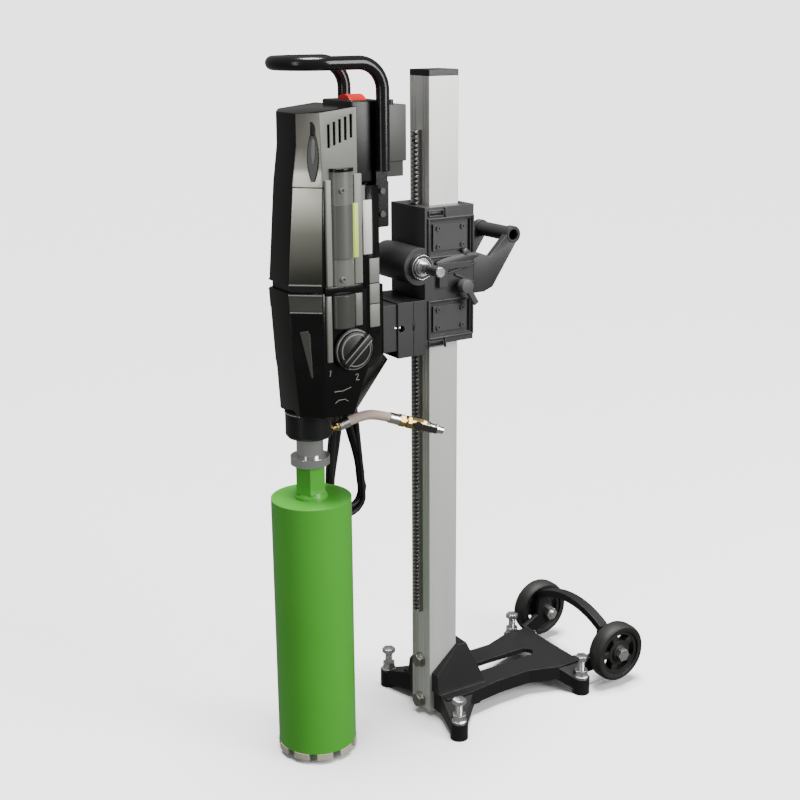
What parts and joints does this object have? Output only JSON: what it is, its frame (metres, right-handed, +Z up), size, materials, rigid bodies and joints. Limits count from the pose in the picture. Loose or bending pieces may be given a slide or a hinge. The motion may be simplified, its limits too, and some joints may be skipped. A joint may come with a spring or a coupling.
{
  "type": "core drill rig",
  "caption": "Wet core drilling rig: square column stand with cast base, wheels and rack-driven carriage, two-speed motor, tube handle, water feed and green core bit.",
  "frame": {"origin": "middle of the whole rig in plan, on the floor under the levelling bosses", "axes": "+Z up along the column, -X towards the drill bit, +X towards the wheels, +Y across"},
  "size_m": [0.6223, 0.2476, 1.0313],
  "materials": {
    "black_cast": "satin black coating on cast metal",
    "black_gloss": "gloss black",
    "black_matte": "fine grained black",
    "anodised": "silver anodised extrusion",
    "rack_steel": "oiled dark steel",
    "zinc": "bright zinc plate",
    "steel": "machined steel",
    "chrome": "polished",
    "brass": "machined brass",
    "nickel": "nickel plate",
    "green": "gloss green paint",
    "segment": "sintered diamond segment",
    "grey_plastic": "dark grey",
    "red_plastic": "red",
    "rubber": "black flexible sheath",
    "hose": "braided sleeve",
    "tyre": "moulded black wheel",
    "bronze": "copper and bronze"
  },
  "bodies": {
    "stand": {"base_casting": "black_cast", "column": "anodised", "column_cap": "black_matte", "gear_rack": "rack_steel", "rack_screws": "zinc", "column_bolts": "zinc", "leveling_locknuts": "zinc", "wheel_bracket": "black_cast", "wheel_bolts": "zinc"},
    "carriage": {"carriage_casting": "black_cast", "guide_pads": "brass", "side_plates": "black_cast", "side_plate_screws": "black_cast", "carry_arms": "black_cast", "carry_grip": "black_matte", "lock_bar": "black_cast", "mount_block": "black_cast", "mount_plate": "black_cast", "gear_housing": "black_gloss", "motor_housing": "black_gloss", "motor_cap": "black_gloss", "bearing_plate": "rack_steel", "gear_bridge": "rack_steel", "ball_bearings": "steel", "stator_core": "rack_steel", "brush_gear": "bronze", "nose_collar": "black_cast", "tube_handle": "black_cast", "handle_screws": "zinc", "handle_bracket": "black_cast", "switch_housing": "black_matte", "electronics_box": "grey_plastic", "inlet_nipple": "brass", "water_hose": "hose", "hose_ferrules": "chrome", "ball_valve": "nickel", "hose_connector": "nickel", "cord_gland": "black_matte", "mains_cord": "rubber", "cord_hank": "rubber", "mains_plug": "rubber"},
    "feed": {"feed_shaft": "steel"},
    "lock": {"lock_knob": "black_cast"},
    "selector": {"gear_selector": "black_matte"},
    "rocker": {"switch_rocker": "red_plastic"},
    "button": {"reset_button": "black_matte"},
    "valve_handle": {"valve_lever": "black_matte"},
    "countershaft_body": {"countershaft": "steel"},
    "second_gear": {"second_speed_gear": "steel"},
    "rotor": {"armature": "steel"},
    "spindle_body": {"spindle": "chrome", "first_speed_gear": "steel", "core_barrel": "green", "barrel_segments": "segment"},
    "right_wheel": {"wheel_right": "tyre"},
    "left_wheel": {"wheel_left": "tyre"},
    "screw_front_right": {"leveling_screw_front_right": "zinc"},
    "screw_front_left": {"leveling_screw_front_left": "zinc"},
    "screw_rear_right": {"leveling_screw_rear_right": "zinc"},
    "screw_rear_left": {"leveling_screw_rear_left": "zinc"}
  },
  "joints": [
    {"name": "carriage_slide", "type": "slide", "parent": "stand", "child": "carriage", "axis": [0, 0, 1], "range_m": [-0.36, 0.15]},
    {"name": "feed_turn", "type": "hinge", "parent": "carriage", "child": "feed", "pos_m": [-0.089, 0, 0.737], "axis": [0, 1, 0], "range_deg": [-1040, 440]},
    {"name": "spindle_spin", "type": "hinge", "parent": "carriage", "child": "spindle_body", "pos_m": [-0.251, 0, 0.5], "axis": [0, 0, 1], "continuous": true},
    {"name": "countershaft_spin", "type": "hinge", "parent": "carriage", "child": "countershaft_body", "pos_m": [-0.22415, 0.02398, 0.6], "axis": [0, 0, 1], "continuous": true},
    {"name": "second_gear_spin", "type": "hinge", "parent": "carriage", "child": "second_gear", "pos_m": [-0.251, 0, 0.609], "axis": [0, 0, 1], "continuous": true},
    {"name": "armature_spin", "type": "hinge", "parent": "carriage", "child": "rotor", "pos_m": [-0.225, 0, 0.8], "axis": [0, 0, 1], "continuous": true},
    {"name": "right_wheel_spin", "type": "hinge", "parent": "stand", "child": "right_wheel", "pos_m": [0.262, -0.102, 0.06], "axis": [0, 1, 0], "continuous": true},
    {"name": "left_wheel_spin", "type": "hinge", "parent": "stand", "child": "left_wheel", "pos_m": [0.262, 0.102, 0.06], "axis": [0, 1, 0], "continuous": true},
    {"name": "screw_front_right_travel", "type": "slide", "parent": "stand", "child": "screw_front_right", "axis": [0, 0, 1], "range_m": [-0.017, 0.02]},
    {"name": "screw_front_left_travel", "type": "slide", "parent": "stand", "child": "screw_front_left", "axis": [0, 0, 1], "range_m": [-0.017, 0.02]},
    {"name": "screw_rear_right_travel", "type": "slide", "parent": "stand", "child": "screw_rear_right", "axis": [0, 0, 1], "range_m": [-0.017, 0.02]},
    {"name": "screw_rear_left_travel", "type": "slide", "parent": "stand", "child": "screw_rear_left", "axis": [0, 0, 1], "range_m": [-0.017, 0.02]},
    {"name": "lock_turn", "type": "hinge", "parent": "carriage", "child": "lock", "pos_m": [-0.02, -0.054, 0.704], "axis": [0, 1, 0], "range_deg": [-180, 180]},
    {"name": "selector_turn", "type": "hinge", "parent": "carriage", "child": "selector", "pos_m": [-0.211, -0.06, 0.636], "axis": [0, -1, 0], "range_deg": [0, 90]},
    {"name": "rocker_tilt", "type": "hinge", "parent": "carriage", "child": "rocker", "pos_m": [-0.171, 0, 0.954], "axis": [1, 0, 0], "range_deg": [-8, 8]},
    {"name": "button_press", "type": "slide", "parent": "carriage", "child": "button", "axis": [0, 0, -1], "range_m": [0, 0.004], "stiffness_N_per_m": 200},
    {"name": "valve_turn", "type": "hinge", "parent": "carriage", "child": "valve_handle", "pos_m": [-0.09649, -0.04241, 0.50339], "axis": [-0.2316, -0.9728, 0], "range_deg": [-90, 0]}
  ],
  "couplings": [
    {"joint": "feed_turn", "follows": "carriage_slide", "rad_per_m": 50},
    {"joint": "countershaft_spin", "follows": "spindle_spin", "ratio": -1.5714},
    {"joint": "second_gear_spin", "follows": "spindle_spin", "ratio": 1.406},
    {"joint": "armature_spin", "follows": "spindle_spin", "ratio": 4.7143}
  ]
}
